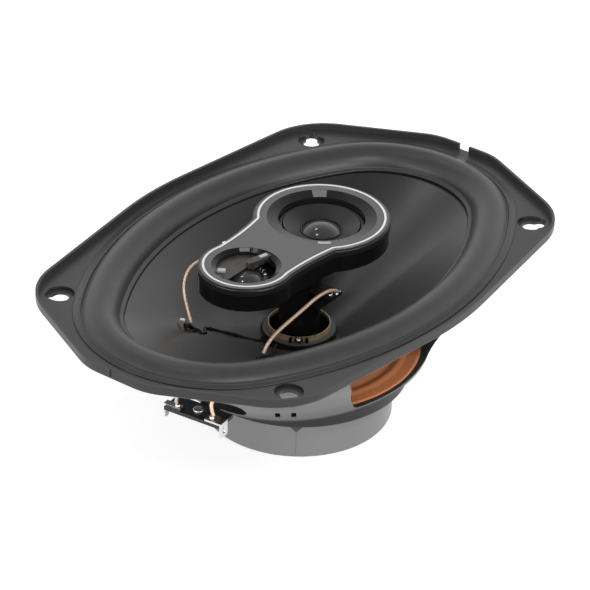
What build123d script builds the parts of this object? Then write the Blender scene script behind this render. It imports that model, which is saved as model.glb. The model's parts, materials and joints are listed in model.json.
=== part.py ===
from build123d import *
import math
import os

# Oval three-way coaxial car speaker, standing on its magnet.
# Millimetres, +Z is the way the cone faces, +X runs along the long axis.
# The origin is the centre of the magnet cover's bottom face.

# --- flange ------------------------------------------------------------------
SHEET = 1.2                 # pressed steel thickness of the basket
FLANGE_Z = 71.0             # top face of the flange
FLANGE_HALF_LENGTH = 117.0
FLANGE_END_STRAIGHT = 14.5  # half length of the straight at each end
FLANGE_EAR = (90.8, 67.45)  # sharp corner of each screw ear, before rounding
FLANGE_HALF_WIDTH = 79.2    # sharp corner at the middle of each long side
FLANGE_RADII = (25.0, 30.0, 143.0)
LIP_HEIGHT = 2.8            # upstanding edge above the flange
LIP_NOTCH = 5.0             # width of the notch in the lip at each end
LIP_BEND = 1.1              # outer rounding where the flange turns up
SCREW_SPACING_X = 165.1
SCREW_SPACING_Y = 113.0
SCREW_HOLE_R = 3.5
SCREW_SLOT_WIDTH = 4.8      # narrower relief that runs outward from each hole
SCREW_SLOT_REACH = 6.5      # from the hole's centre to the relief's end
DIMPLE_R = 5.7
DIMPLE_DEPTH = 1.5

# --- basket ------------------------------------------------------------------
BASE_Z = 19.0               # underside of the basket's floor
BASE_R = 42.0
BASE_BORE_R = 24.0
SHELF_Z = 30.0              # top of the shelf that the spider is glued to
SHELF_LEDGE = 9.2           # from the floor's edge out to the shelf's edge
SHELF_OVALITY = 0.2
CUP_STEP = 3.5              # from the floor's edge out to the round cup's outside
KNEE_Z = 36.0               # height of the bend above the shelf
KNEE_GROW = 2.6             # from the shelf's edge to the knee's outside
KNEE_OVALITY = 0.28
WAIST_Z = 50.0
WAIST_INSET = 6.5           # from the bowl's outside to the waist's
WAIST_OVALITY = 0.55
BROW_Z = 60.0
BROW_INSET = 2.4            # from the bowl's outside to the brow's
BROW_OVALITY = 0.77
BOWL_INSET = 9.7            # from the flange's edge to the bowl's outside
LEG_STEP = 8.0              # from the floor's edge out to the legs' panels at the shelf
LEG_HALF_ANGLE = 28.5       # each leg's half spread below the shelf
LEG_ANGLE = 40.5            # each leg's middle, from the long axis
SIDE_WINDOW = (25.0, 48.0, 60.5)    # half widths at the bottom and top, top height
END_WINDOW = (17.5, 20.0, 57.5)
WINDOW_SILL = 0.3           # from the shelf up to the windows
WINDOW_ROUND = 3.0
LEG_SLOT = (2.0, 3.4)       # width and height of the small slots in the legs
LEG_SLOT_PITCH = 6.3
LEG_SLOT_ANGLE = 32.0       # middle of each pair, from the long axis
LEG_SLOT_Z = 33.7

# --- surround, gasket, cone and spider ----------------------------------------
FIT_GAP = 0.3               # running gap between pieces that move apart
END_LEDGE = 6.4             # bare flange beyond the gasket, at the ends
SIDE_LEDGE = 5.6            # and along the sides
ROLL_WIDTH = 15.0
ROLL_CREST_Z = 76.0
SKIN = 0.9                  # thickness of the rubber roll
GASKET_WIDTH = 3.6
GASKET_HEIGHT = 0.5
CONE_RIM_Z = 67.0
CONE_RIM_WIDTH = 2.2
CONE_NECK_Z = 36.0
CONE_NECK_R = 14.2
CONE_PAPER = 1.1
SPIDER_INSET = 1.8          # from the shelf's edge to the cloth's
SPIDER_WAVES = 6
SPIDER_WAVE_HEIGHT = 1.5
SPIDER_CLOTH = 0.6

# --- motor ---------------------------------------------------------------------
COVER_R = 39.3
COVER_HEIGHT = 15.0
COVER_WALL = 1.4
COVER_BEND = 1.6            # rounding of the cover's bottom edge
COVER_NOTCH = (3.0, 1.3)    # width and depth of the V at the cover's seam
COVER_SEAM_ANGLE = -143.8
YOKE_R = 34.0
YOKE_THICK = 4.2
MAGNET_R = 35.8
MAGNET_BORE_R = 19.0
MAGNET_HEIGHT = 9.0
PLATE_R = 36.0
COIL_FORMER_R = 12.5        # inside of the voice coil former
FORMER_WALL = 0.3
FORMER_TOP_Z = 41.0
FORMER_LENGTH = 31.0
WINDING_BUILD = 0.7
WINDING_LENGTH = 7.5
AIR_GAP = 0.6               # each side of the coil
GLUE_RING_R = 15.0

# --- centre post and screw -----------------------------------------------------
POST_R = 8.5
SCREW_R = 2.5
SCREW_CLEARANCE = 0.1       # round the screw, in the pole and the post
SCREW_HEAD_R = 4.5
SCREW_HEAD_HEIGHT = 3.0
SCREW_LENGTH = 30.0

# --- bridge that carries the mid and the tweeter ---------------------------------
BEZEL_TOP_Z = 84.0          # the depths below are measured down from here
BEZEL_HEIGHT = 3.0
HOUSING_DEPTH = 10.0        # down to where the housing's wider side starts
BRIDGE_DEPTH = 12.0         # down to the underside of the pan
BRIDGE_FLOOR = 1.2
PAN_INSET = 2.5             # from the silver line to the pan's outside
MID_X = 13.5
TWEETER_X = -36.3
MID_LINE_R = 25.7           # silver line round the mid
TWEETER_LINE_R = 17.0       # silver line round the tweeter
WAIST_ENDS_X = (-32.0, -4.0)
WAIST_HOLLOW = 0.8          # how far the waist's sides curve inwards
WAIST_CORNER = (6.0, 3.0)   # fillets where the waist meets the two circles
TRIM_WIDTH = 0.9
TRIM_HEIGHT = 0.35
TRIM_DEPTH = 0.4
BEZEL_GROW = 2.3            # bezel's edge beyond the silver line
HOUSING_GROW = 1.9
HOUSING_WALL = 1.5
BEZEL_ROUND = 1.0
MID_MOUTH = (22.3, 17.7, 1.1)       # radii at the chamfer's top and bottom, drop
TWEETER_MOUTH = (13.9, 11.9, 1.1)
SLEEVE_WALL = 1.2
SLEEVE_DEPTH = 4.2          # down to the bottom of the sleeves below both mouths

# --- mid driver --------------------------------------------------------------
MID_EDGE_R = 15.6           # outer radius of the mid's cone
MID_EDGE_DEPTH = 3.6
MID_NECK_R = 6.4
MID_NECK_DEPTH = 7.6
MID_PAPER = 0.5
MID_DOME_R = 8.0
MID_DOME_HEIGHT = 2.9
MID_COIL_LENGTH = 1.7
MID_MAGNET_R = 5.2
MID_MAGNET_HEIGHT = 1.2
SMALL_POLE_THICK = 0.8
SMALL_GAP = 0.4
YOKE_FLOOR = 0.8
YOKE_RISE = 1.3             # from a small coil's lower end to its yoke's rim

# --- tweeter -------------------------------------------------------------------
DOME_R = 6.2
DOME_DEPTH = 5.4
DOME_HEIGHT = 2.0
DOME_SHELL = 0.4
TWEETER_COIL_LENGTH = 2.4
TWEETER_MAGNET_R = 4.1
TWEETER_MAGNET_HEIGHT = 2.2
TWEETER_ROLL = (6.5, 9.0)   # inner and outer radius of the tweeter's edge roll
PHASE_PLATE_DEPTH = 2.9     # down to the underside of the plate over half of the dome
PHASE_PLATE_THICK = 0.5
PHASE_PLATE_EDGE = 1.2      # Y of the plate's straight edge
PHASE_BAR = (3.2, 0.3)      # width of the bright bar, depth of its top
PHASE_BAR_ENDS = ((13.0, -1.2), (3.6, 0.9))
PHASE_RIB = (6.8, 3.0)      # length and width of the rib beside the bar

# --- crossover on the post ----------------------------------------------------------
BOARD_SIZE = (11.0, 7.0, 1.6)
BOARD_Z = 59.8
CAPACITOR_R = 3.0
CAPACITOR_LENGTH = 9.0
SOLDER_R = 1.1
SOLDER_PITCH = 3.6
SOLDER_INSET = 3.0          # from the board's end to its solder

# --- terminals ---------------------------------------------------------------------
TERMINAL_REACH = 8.2        # from the shelf's end to the terminal board's centre
TERMINAL_SHIFT = -0.8
TERMINAL_TURN = 5.6
TERMINAL_BOARD = (10.0, 26.0, 1.6)
LUG_THICK = 0.8
LUG_WIDTH = 4.8
NARROW_LUG_WIDTH = 2.8
LUG_SHIFT = -2.6            # lugs sit off the board's centre line
LUG_DROP = 6.6              # from the lug's top to the blade's tip
LUG_SLOT = (1.6, 3.6)       # width and height of the hole in the blade
LUG_PAD_LENGTH = 7.0        # part of the lug that lies on the board
RIVET_R = 1.2
RIVET_HEAD_R = 2.2
BRACKET_WIDTH = 9.0

# --- leads ---------------------------------------------------------------------------
BRAID_R = 0.75
EYELET_SHARE = 0.53         # how far up the cone the eyelets lie
EYELET_TURN = 41.7          # and their direction from the long axis
EYELET_R = 2.6
GLUE_LAYER = 1.0
LEAD_LINE_WIDTH = 1.7
# Runs from one end to the other: share of the way, then the shift from the
# straight line, which is sideways for the glued line and (y, z) for the leads.
LEAD_LINE = ((0.049, -3.26), (0.175, -1.40), (0.223, 2.28), (0.320, 2.38), (0.509, 1.57),
             (0.676, 0.26), (0.853, -0.65), (1.0, 0.0))
RIGHT_LEAD = ((0.0, 0.0, 0.0), (0.09, 0.3, 4.0), (0.30, 0.4, 6.8), (0.52, 0.4, 6.7),
              (0.73, 0.3, 6.4), (0.885, 0.2, 5.2), (0.975, 0.1, 2.2), (1.0, 0.0, 0.0))
LEFT_LEAD = ((0.0, 0.0, 0.0), (0.14, 1.6, 5.8), (0.31, 4.0, 11.8), (0.48, 6.3, 16.8), (0.66, 7.8, 19.8),
             (0.83, 7.0, 18.4), (0.92, 4.9, 13.0), (0.965, 2.5, 6.1), (1.0, 0.0, 0.0))
BACK_LEAD = ((0.0, 0.0, 0.0), (-0.03, -0.6, 3.4), (-0.01, -1.0, 7.0), (0.33, 0.4, 3.4),
             (0.7, 0.4, -1.2), (1.0, 0.0, 0.0))
LEAD_ROOM = 10.65           # room under the bridge for which the upper leads' rises are given
BACK_LEAD_END = (0.553, 37.0)       # share up the cone and direction

# --- sizes that follow from the ones above -------------------------------------
BOWL_HALF_WIDTH = FLANGE_HALF_WIDTH - BOWL_INSET
WAIST_HALF_WIDTH = BOWL_HALF_WIDTH - WAIST_INSET
BROW_HALF_WIDTH = BOWL_HALF_WIDTH - BROW_INSET
SHELF_HALF_WIDTH = BASE_R + SHELF_LEDGE
KNEE_HALF_WIDTH = SHELF_HALF_WIDTH + KNEE_GROW
CUP_R = BASE_R + CUP_STEP
LEG_TOP_R = BASE_R + LEG_STEP
SPIDER_ROLL_R = CUP_R - 0.1
EDGE_WIDTH = ROLL_WIDTH + GASKET_WIDTH
CONE_HALF_WIDTH = FLANGE_HALF_WIDTH - SIDE_LEDGE - EDGE_WIDTH
CONE_HALF_LENGTH = FLANGE_HALF_LENGTH - END_LEDGE - EDGE_WIDTH
TOP_PLATE_Z = COVER_WALL + YOKE_THICK + MAGNET_HEIGHT
PLATE_THICK = BASE_Z - TOP_PLATE_Z
FORMER_OUT_R = COIL_FORMER_R + FORMER_WALL
WINDING_R = FORMER_OUT_R + WINDING_BUILD
POLE_R = COIL_FORMER_R - AIR_GAP
POLE_TOP_Z = BASE_Z + 0.5
ROLL_HALF_WIDTH = CONE_HALF_WIDTH + ROLL_WIDTH / 2
SHELF_HALF_LENGTH = SHELF_HALF_WIDTH + SHELF_OVALITY * (CONE_HALF_LENGTH - CONE_HALF_WIDTH)
TERMINAL_SPOT = (-SHELF_HALF_LENGTH - TERMINAL_REACH, TERMINAL_SHIFT)
TERMINAL_TOP_Z = SHELF_Z + TERMINAL_BOARD[2]
PAD_Y = TERMINAL_BOARD[1] / 2 - LUG_PAD_LENGTH + 2.0
BEZEL_Z = BEZEL_TOP_Z - BEZEL_HEIGHT
HOUSING_Z = BEZEL_TOP_Z - HOUSING_DEPTH
BRIDGE_Z = BEZEL_TOP_Z - BRIDGE_DEPTH
SLEEVE_Z = BEZEL_TOP_Z - SLEEVE_DEPTH
MID_EDGE_Z = BEZEL_TOP_Z - MID_EDGE_DEPTH
MID_NECK_Z = BEZEL_TOP_Z - MID_NECK_DEPTH
DOME_Z = BEZEL_TOP_Z - DOME_DEPTH
PHASE_PLATE_Z = BEZEL_TOP_Z - PHASE_PLATE_DEPTH
MID_SLOPE = (MID_EDGE_Z - MID_NECK_Z) / (MID_EDGE_R - MID_NECK_R)
MID_DOME_Z = MID_NECK_Z + MID_SLOPE * (MID_DOME_R - MID_NECK_R) + MID_PAPER

# The ovals are four tangent arcs that share their centres. The side arcs'
# centre is a driving size, and the end arcs' centre gives the cone its length.
OVAL_SIDE_CENTRE = 79.8     # Y of the centre of each side arc
OVAL_RISE = OVAL_SIDE_CENTRE + CONE_HALF_WIDTH - CONE_HALF_LENGTH
OVAL_END_CENTRE = (OVAL_SIDE_CENTRE ** 2 - OVAL_RISE ** 2) / (2 * OVAL_RISE)


# --- helpers ------------------------------------------------------------------------

def oval(half_width, ovality=1.0):
    """Closed outline of four tangent arcs; ovality 0 is a circle."""
    end_x = OVAL_END_CENTRE * ovality
    side_y = OVAL_SIDE_CENTRE * ovality
    side_r = half_width + side_y
    end_r = side_r - math.hypot(end_x, side_y)
    turn = math.degrees(math.atan2(OVAL_SIDE_CENTRE, OVAL_END_CENTRE))
    arcs = [
        CenterArc((end_x, 0), end_r, -turn, 2 * turn),
        CenterArc((0, -side_y), side_r, turn, 180 - 2 * turn),
        CenterArc((-end_x, 0), end_r, 180 - turn, 2 * turn),
        CenterArc((0, side_y), side_r, 180 + turn, 180 - 2 * turn),
    ]
    return arcs


def oval_face(half_width, z, ovality=1.0):
    return Pos(0, 0, z) * make_face(oval(half_width, ovality))


def slab(face, low, high):
    """Straight-sided solid of a flat outline between two heights."""
    return extrude(Pos(0, 0, low) * face, high - low)


def oval_slab(half_width, low, high):
    return slab(make_face(oval(half_width)), low, high)


def tube(outer, inner, low, high, x=0.0, y=0.0):
    ring = Pos(x, y) * (Circle(outer) - Circle(inner))
    return slab(ring, low, high)


def disc(radius, low, high, x=0.0, y=0.0):
    return slab(Pos(x, y) * Circle(radius), low, high)


def turned(points, x=0.0, y=0.0):
    """Solid of revolution about a vertical axis from (radius, height) points."""
    profile = make_face(Plane.XZ * Polyline(*points, close=True))
    return Pos(x, y) * revolve(profile, Axis.Z)


def sector(middle, half, reach, low, high):
    """Wedge about the Z axis, used to keep or cut a range of angles."""
    rim = [(reach * math.cos(math.radians(a)), reach * math.sin(math.radians(a)))
           for a in (middle - half, middle, middle + half)]
    return slab(make_face(Polyline((0, 0), *rim, close=True)), low, high)


def joined(pieces):
    whole = pieces[0]
    for piece in pieces[1:]:
        whole = whole + piece
    return whole


def four_ways(x, y):
    return [(x, y), (-x, y), (-x, -y), (x, -y)]


def cone_point(share, turn, lift=0.0):
    """Point on the cone's back near its -X end, by how far up it lies and its direction."""
    end_r = CONE_HALF_LENGTH - OVAL_END_CENTRE
    radius = CONE_NECK_R + share * (end_r - CONE_NECK_R)
    angle = math.radians(turn)
    x = -share * OVAL_END_CENTRE - radius * math.cos(angle)
    height = CONE_NECK_Z + share * (CONE_RIM_Z - CONE_NECK_Z)
    return Vector(x, radius * math.sin(angle), height + lift)


def along(start, end, runs, side):
    """Corners of a lead between two points, each pushed off the straight line."""
    corners = []
    for share, out, up in runs:
        corners.append(start + (end - start) * share + Vector(0, side * out, up))
    return corners


# --- basket --------------------------------------------------------------------------

def flange_outline():
    end = [(FLANGE_HALF_LENGTH, FLANGE_END_STRAIGHT)]
    quarter = end + [FLANGE_EAR]
    top = quarter + [(0, FLANGE_HALF_WIDTH)] + [(-x, y) for x, y in reversed(quarter)]
    bottom = [(-x, -y) for x, y in top]
    outline = make_face(Polyline(*(top + bottom), close=True))
    ends = [v for v in outline.vertices() if abs(abs(v.X) - FLANGE_HALF_LENGTH) < 0.01]
    ears = [v for v in outline.vertices() if abs(abs(v.X) - FLANGE_EAR[0]) < 0.01]
    sides = [v for v in outline.vertices() if abs(v.X) < 0.01]
    outline = fillet(sides, FLANGE_RADII[2])
    for group, radius in ((ears, FLANGE_RADII[1]), (ends, FLANGE_RADII[0])):
        corners = [nearest_vertex(outline, v) for v in group]
        outline = fillet(corners, radius)
    return outline


def nearest_vertex(outline, vertex):
    return outline.vertices().sort_by_distance((vertex.X, vertex.Y, vertex.Z))[0]


def screw_hole():
    """Round hole with a narrower relief that runs along +X."""
    relief_r = SCREW_SLOT_WIDTH / 2
    reach = SCREW_SLOT_REACH - relief_r
    relief = Pos(reach / 2, 0) * Rectangle(reach, SCREW_SLOT_WIDTH)
    return Circle(SCREW_HOLE_R) + relief + Pos(reach, 0) * Circle(relief_r)


def basket_flange():
    outline = flange_outline()
    low = FLANGE_Z - SHEET
    plate = slab(outline, low, FLANGE_Z)
    plate = fillet(plate.edges().group_by(Axis.Z)[0], LIP_BEND)
    lip = slab(outline - offset(outline, -SHEET), FLANGE_Z, FLANGE_Z + LIP_HEIGHT)
    notch = Pos(0, 0, FLANGE_Z + LIP_HEIGHT) * Box(3 * FLANGE_HALF_LENGTH, LIP_NOTCH, 2 * LIP_HEIGHT)
    flange = plate + (lip - notch)
    floor_low = low - DIMPLE_DEPTH
    for x, y in four_ways(SCREW_SPACING_X / 2, SCREW_SPACING_Y / 2):
        place = Pos(x, y) * Rot(0, 0, math.degrees(math.atan2(y, x)))
        flange += disc(DIMPLE_R + SHEET, floor_low, FLANGE_Z, x, y)
        flange -= disc(DIMPLE_R, floor_low + SHEET, FLANGE_Z + LIP_HEIGHT, x, y)
        flange -= slab(place * screw_hole(), floor_low - SHEET, FLANGE_Z)
    return flange


def bowl(inset):
    """Upper bowl of the basket, from the round shelf to the oval mouth."""
    return loft([
        oval_face(SHELF_HALF_WIDTH - inset, SHELF_Z - SHEET, SHELF_OVALITY),
        oval_face(KNEE_HALF_WIDTH - inset, KNEE_Z, KNEE_OVALITY),
        oval_face(WAIST_HALF_WIDTH - inset, WAIST_Z, WAIST_OVALITY),
        oval_face(BROW_HALF_WIDTH - inset, BROW_Z, BROW_OVALITY),
        oval_face(BOWL_HALF_WIDTH - inset, FLANGE_Z - SHEET),
    ])


def window(sizes, reach):
    """Trapezoid opening that runs outward along +X through one wall."""
    bottom, top, high = sizes
    low = SHELF_Z + WINDOW_SILL
    points = [(-bottom, low), (bottom, low), (top, high), (-top, high)]
    shape = make_face(Plane.YZ * Polyline(*points, close=True))
    shape = fillet(shape.vertices(), WINDOW_ROUND)
    return extrude(shape, reach)


def leg_panel(angle):
    """Sloping panel that runs from the floor to the shelf under one leg."""
    rise = SHELF_Z - BASE_Z
    slope = (LEG_TOP_R - BASE_R) / rise
    outer = turned([(0, BASE_Z), (BASE_R, BASE_Z), (LEG_TOP_R, SHELF_Z), (0, SHELF_Z)])
    inset = SHEET * math.hypot(1, slope)
    inner = turned([(0, BASE_Z), (BASE_R - inset, BASE_Z), (LEG_TOP_R - inset, SHELF_Z), (0, SHELF_Z)])
    return (outer - inner) & sector(angle, LEG_HALF_ANGLE, 2 * LEG_TOP_R, BASE_Z, SHELF_Z)


def leg_slots(angle):
    """Pair of small slots through the leg, just above the shelf."""
    width, height = LEG_SLOT
    reach = WAIST_HALF_WIDTH - SHELF_HALF_WIDTH
    spots = [Pos(WAIST_HALF_WIDTH, side * LEG_SLOT_PITCH / 2, LEG_SLOT_Z) for side in (-1, 1)]
    return Rot(0, 0, angle) * joined([spot * Box(2 * reach, width, height) for spot in spots])


def four_angles(angle):
    return (angle, 180 - angle, 180 + angle, -angle)


def basket():
    shell = bowl(0) - bowl(SHEET)
    for angle in (0, 180):
        shell -= Rot(0, 0, angle) * window(END_WINDOW, 2 * FLANGE_HALF_LENGTH)
    for angle in (90, 270):
        shell -= Rot(0, 0, angle) * window(SIDE_WINDOW, 2 * FLANGE_HALF_LENGTH)
    for angle in four_angles(LEG_SLOT_ANGLE):
        shell -= leg_slots(angle)
    shelf = slab(make_face(oval(SHELF_HALF_WIDTH, SHELF_OVALITY)), SHELF_Z - SHEET, SHELF_Z)
    shelf -= disc(CUP_R - SHEET, SHELF_Z - SHEET, SHELF_Z)
    cup = tube(CUP_R, CUP_R - SHEET, BASE_Z, SHELF_Z)
    floor = tube(CUP_R, BASE_BORE_R, BASE_Z, BASE_Z + SHEET)
    flange = basket_flange() - oval_slab(BOWL_HALF_WIDTH - SHEET, FLANGE_Z - 3 * SHEET, FLANGE_Z + SHEET)
    panels = [leg_panel(angle) for angle in four_angles(LEG_ANGLE)]
    return joined([floor, cup, shelf, shell, flange] + panels)


# --- moving parts of the woofer ----------------------------------------------------------

def cone_space(lift=0.0):
    """Space inside the cone's back surface, lifted to give its front surface."""
    return loft([
        oval_face(CONE_NECK_R, CONE_NECK_Z + lift, 0),
        oval_face(CONE_HALF_WIDTH, CONE_RIM_Z + lift),
    ])


def cone():
    paper = cone_space() - cone_space(CONE_PAPER)
    rim_low = CONE_RIM_Z - 0.9
    rim = oval_slab(CONE_HALF_WIDTH + CONE_RIM_WIDTH, rim_low, CONE_RIM_Z)
    rim -= oval_slab(CONE_HALF_WIDTH - 0.6, rim_low, CONE_RIM_Z)
    neck_hole = disc(FORMER_OUT_R, CONE_NECK_Z - 1, CONE_NECK_Z + 2 * CONE_PAPER)
    return (paper + rim) - neck_hole


def on_cone(outline, thickness):
    """Layer of the given thickness that lies on the cone inside an outline."""
    column = slab(outline, CONE_NECK_Z, CONE_RIM_Z)
    return (cone_space(CONE_PAPER) & column) - cone_space(CONE_PAPER + thickness)


def surround_profile():
    """Half roll with its two glued edges; x runs outward, y up."""
    inner_z = CONE_RIM_Z + FIT_GAP
    outer_z = FLANGE_Z
    half = ROLL_WIDTH / 2
    top = ThreePointArc((-half, inner_z + SKIN), (-0.4, ROLL_CREST_Z), (half, outer_z + SKIN))
    under = ThreePointArc((half - SKIN, outer_z), (-0.4, ROLL_CREST_Z - SKIN), (-half + SKIN, inner_z))
    outer_edge = half + GASKET_WIDTH
    inner_edge = -half - 1.5
    edge = [
        Polyline((half, outer_z + SKIN), (outer_edge, outer_z + SKIN),
                 (outer_edge, outer_z), (half - SKIN, outer_z)),
        Polyline((-half + SKIN, inner_z), (inner_edge, inner_z),
                 (inner_edge, inner_z + SKIN), (-half, inner_z + SKIN)),
    ]
    return make_face([top, under] + edge)


def surround():
    path = Wire(oval(ROLL_HALF_WIDTH))
    start = path.position_at(0)
    outward = Vector(start.X - OVAL_END_CENTRE, start.Y, 0)
    section = Plane(origin=start, x_dir=outward, z_dir=outward.cross(Vector(0, 0, 1)))
    return sweep(section * surround_profile(), path=path)


def gasket():
    inner = ROLL_HALF_WIDTH + ROLL_WIDTH / 2
    low = FLANGE_Z + SKIN
    ring = oval_slab(inner + GASKET_WIDTH, low, low + GASKET_HEIGHT)
    return ring - oval_slab(inner + 0.4, low, low + GASKET_HEIGHT)


def spider():
    """Corrugated cloth from the former, with a flat landing that covers the shelf."""
    inner = FORMER_OUT_R + 0.6
    pitch = (SPIDER_ROLL_R - inner) / SPIDER_WAVES
    steps = 2 * SPIDER_WAVES
    crests = [(inner + pitch * i / 2, SPIDER_WAVE_HEIGHT * (i % 2)) for i in range(1, steps)]
    line = [(inner - 0.3, 0)] + crests + [(SPIDER_ROLL_R, 0)]
    low = SHELF_Z
    top = [(r, low + SPIDER_CLOTH + h) for r, h in line]
    under = [(r, low + h) for r, h in reversed(line)]
    landing = slab(make_face(oval(SHELF_HALF_WIDTH - SPIDER_INSET, SHELF_OVALITY)), low, low + SPIDER_CLOTH)
    landing -= disc(SPIDER_ROLL_R - 0.1, low, low + SPIDER_CLOTH)
    return turned(top + under) + landing


def voice_coil_former():
    return tube(FORMER_OUT_R, COIL_FORMER_R, FORMER_TOP_Z - FORMER_LENGTH, FORMER_TOP_Z)


def voice_coil_winding():
    middle = (TOP_PLATE_Z + BASE_Z) / 2
    return tube(WINDING_R, FORMER_OUT_R, middle - WINDING_LENGTH / 2, middle + WINDING_LENGTH / 2)


def neck_glue_ring():
    ring = tube(GLUE_RING_R, FORMER_OUT_R, CONE_NECK_Z, CONE_NECK_Z + 2.6)
    return ring & cone_space(CONE_PAPER)


def eyelets():
    pieces = []
    for side in (-1, 1):
        outline = Pos(EYELET.X, side * EYELET.Y) * Circle(EYELET_R)
        pieces.append(on_cone(outline, 2 * GLUE_LAYER))
    return Compound(children=[p.solid() for p in pieces])


def band(points, width):
    """Flat strip of even width along straight runs, with round joints."""
    pieces = [Pos(x, y) * Circle(width / 2) for x, y in points]
    for (x0, y0), (x1, y1) in zip(points, points[1:]):
        angle = math.degrees(math.atan2(y1 - y0, x1 - x0))
        run = Rectangle(math.hypot(x1 - x0, y1 - y0), width)
        pieces.append(Pos((x0 + x1) / 2, (y0 + y1) / 2) * Rot(0, 0, angle) * run)
    return joined(pieces)


def coil_lead_lines():
    """Glued lines that bring the coil's wire ends up the cone to the eyelets."""
    run = Vector(-GLUE_RING_R - 1.2, 1.9) - Vector(EYELET.X, EYELET.Y)
    sideways = Vector(-run.Y, run.X).normalized()
    pieces = []
    for side in (-1, 1):
        spots = [Vector(EYELET.X, EYELET.Y) + run * share + sideways * shift for share, shift in LEAD_LINE]
        points = [(spot.X, side * spot.Y) for spot in spots]
        pieces.append(on_cone(band(points, LEAD_LINE_WIDTH), GLUE_LAYER))
    return Compound(children=[p.solid() for p in pieces])


def on_former(turn, width, low, high):
    """Small block on the outside of the former's rim."""
    depth = 1.2
    block = Pos(FORMER_OUT_R + depth / 2, 0, (low + high) / 2) * Box(depth, width, high - low)
    return Rot(0, 0, turn) * block - disc(FORMER_OUT_R, low, high)


def coil_solder():
    """Solder where the coil's two wire ends meet the rim of the former."""
    turns = (COVER_SEAM_ANGLE - 4, COVER_SEAM_ANGLE + 4)
    pieces = [on_former(turn, 1.5, FORMER_TOP_Z - 1.8, FORMER_TOP_Z + 0.1) for turn in turns]
    return Compound(children=[p.solid() for p in pieces])


def coil_sleeves():
    """Black sleeves that bring both wire ends down to the neck."""
    turns = (COVER_SEAM_ANGLE - 14, COVER_SEAM_ANGLE + 14)
    pieces = [on_former(turn, 1.2, CONE_NECK_Z + 2.8, FORMER_TOP_Z - 0.2) for turn in turns]
    return Compound(children=[p.solid() for p in pieces])


# --- motor ---------------------------------------------------------------------------------

def magnet_cover():
    cup = disc(COVER_R, 0, COVER_HEIGHT) - disc(COVER_R - COVER_WALL, COVER_WALL, COVER_HEIGHT)
    cup = fillet(cup.edges().group_by(Axis.Z)[0], COVER_BEND)
    width, depth = COVER_NOTCH
    notch = make_face(Plane.YZ * Polyline(
        (-width / 2, COVER_HEIGHT), (width / 2, COVER_HEIGHT), (0, COVER_HEIGHT - depth), close=True))
    place = Rot(0, 0, COVER_SEAM_ANGLE) * Pos(COVER_R - 2 * COVER_WALL, 0)
    return cup - place * extrude(notch, 3 * COVER_WALL)


def yoke():
    plate = disc(YOKE_R, COVER_WALL, COVER_WALL + YOKE_THICK)
    pole = disc(POLE_R, COVER_WALL, POLE_TOP_Z)
    bore = disc(SCREW_R + SCREW_CLEARANCE, COVER_WALL, POLE_TOP_Z)
    head = disc(SCREW_HEAD_R + 0.3, COVER_WALL, COVER_WALL + SCREW_HEAD_HEIGHT)
    return plate + pole - bore - head


def magnet_ring():
    low = COVER_WALL + YOKE_THICK
    return tube(MAGNET_R, MAGNET_BORE_R, low, low + MAGNET_HEIGHT)


def top_plate():
    return tube(PLATE_R, WINDING_R + AIR_GAP, TOP_PLATE_Z, BASE_Z)


# --- centre post -------------------------------------------------------------------------------

def centre_post():
    post = disc(POST_R, POLE_TOP_Z, BRIDGE_Z)
    screw_end = COVER_WALL + SCREW_LENGTH
    return post - disc(SCREW_R + SCREW_CLEARANCE, POLE_TOP_Z, screw_end)


def post_screw():
    low = COVER_WALL
    return disc(SCREW_HEAD_R, low, low + SCREW_HEAD_HEIGHT) + disc(SCREW_R, low, low + SCREW_LENGTH)


# --- bridge --------------------------------------------------------------------------------------

def waist_end(x, centre_x, radius):
    """Point on a driver's circle where the waist's side meets it."""
    return Vector(x, math.sqrt(radius ** 2 - (x - centre_x) ** 2))


def bridge_outline():
    """Silver line's outline: two circles and a waist with slightly hollow sides."""
    start = waist_end(WAIST_ENDS_X[0], TWEETER_X, TWEETER_LINE_R)
    end = waist_end(WAIST_ENDS_X[1], MID_X, MID_LINE_R)
    middle = (start + end) / 2 - Vector(0, WAIST_HOLLOW)
    side = ThreePointArc(start, middle, end)
    other = mirror(side, Plane.XZ)
    waist = make_face([side, other, Line(side @ 0, other @ 0), Line(side @ 1, other @ 1)])
    mid = Pos(MID_X, 0) * Circle(MID_LINE_R)
    tweeter = Pos(TWEETER_X, 0) * Circle(TWEETER_LINE_R)
    outline = mid + tweeter + waist
    for point, radius in ((start, WAIST_CORNER[0]), (end, WAIST_CORNER[1])):
        for y in (point.Y, -point.Y):
            corner = outline.vertices().sort_by_distance((point.X, y, 0))[0]
            outline = fillet(corner, radius)
    return outline


BRIDGE_OUTLINE = bridge_outline()


def figure_eight(grow):
    """Outline round both small drivers, grown outward from the silver line."""
    if grow == 0:
        return BRIDGE_OUTLINE
    return offset(BRIDGE_OUTLINE, grow)


def bridge_housing():
    """Wide upper side of the bridge with a narrower pan below it."""
    floor_z = HOUSING_Z + BRIDGE_FLOOR
    wide = slab(figure_eight(HOUSING_GROW), HOUSING_Z, BEZEL_Z)
    wide -= slab(figure_eight(HOUSING_GROW - HOUSING_WALL), floor_z, BEZEL_Z)
    pan = slab(figure_eight(-PAN_INSET), BRIDGE_Z, floor_z)
    inside = slab(figure_eight(-PAN_INSET - BRIDGE_FLOOR), BRIDGE_Z + BRIDGE_FLOOR, floor_z)
    return wide + pan - inside


def mouth(sizes, x):
    """Chamfered opening in the bezel with the bore of the sleeve below it."""
    top, bottom, drop = sizes
    ledge_z = BEZEL_TOP_Z - drop
    side = [(bottom, SLEEVE_Z), (bottom, ledge_z), (top, BEZEL_TOP_Z)]
    return turned([(0, SLEEVE_Z)] + side + [(0, BEZEL_TOP_Z)], x)


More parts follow.
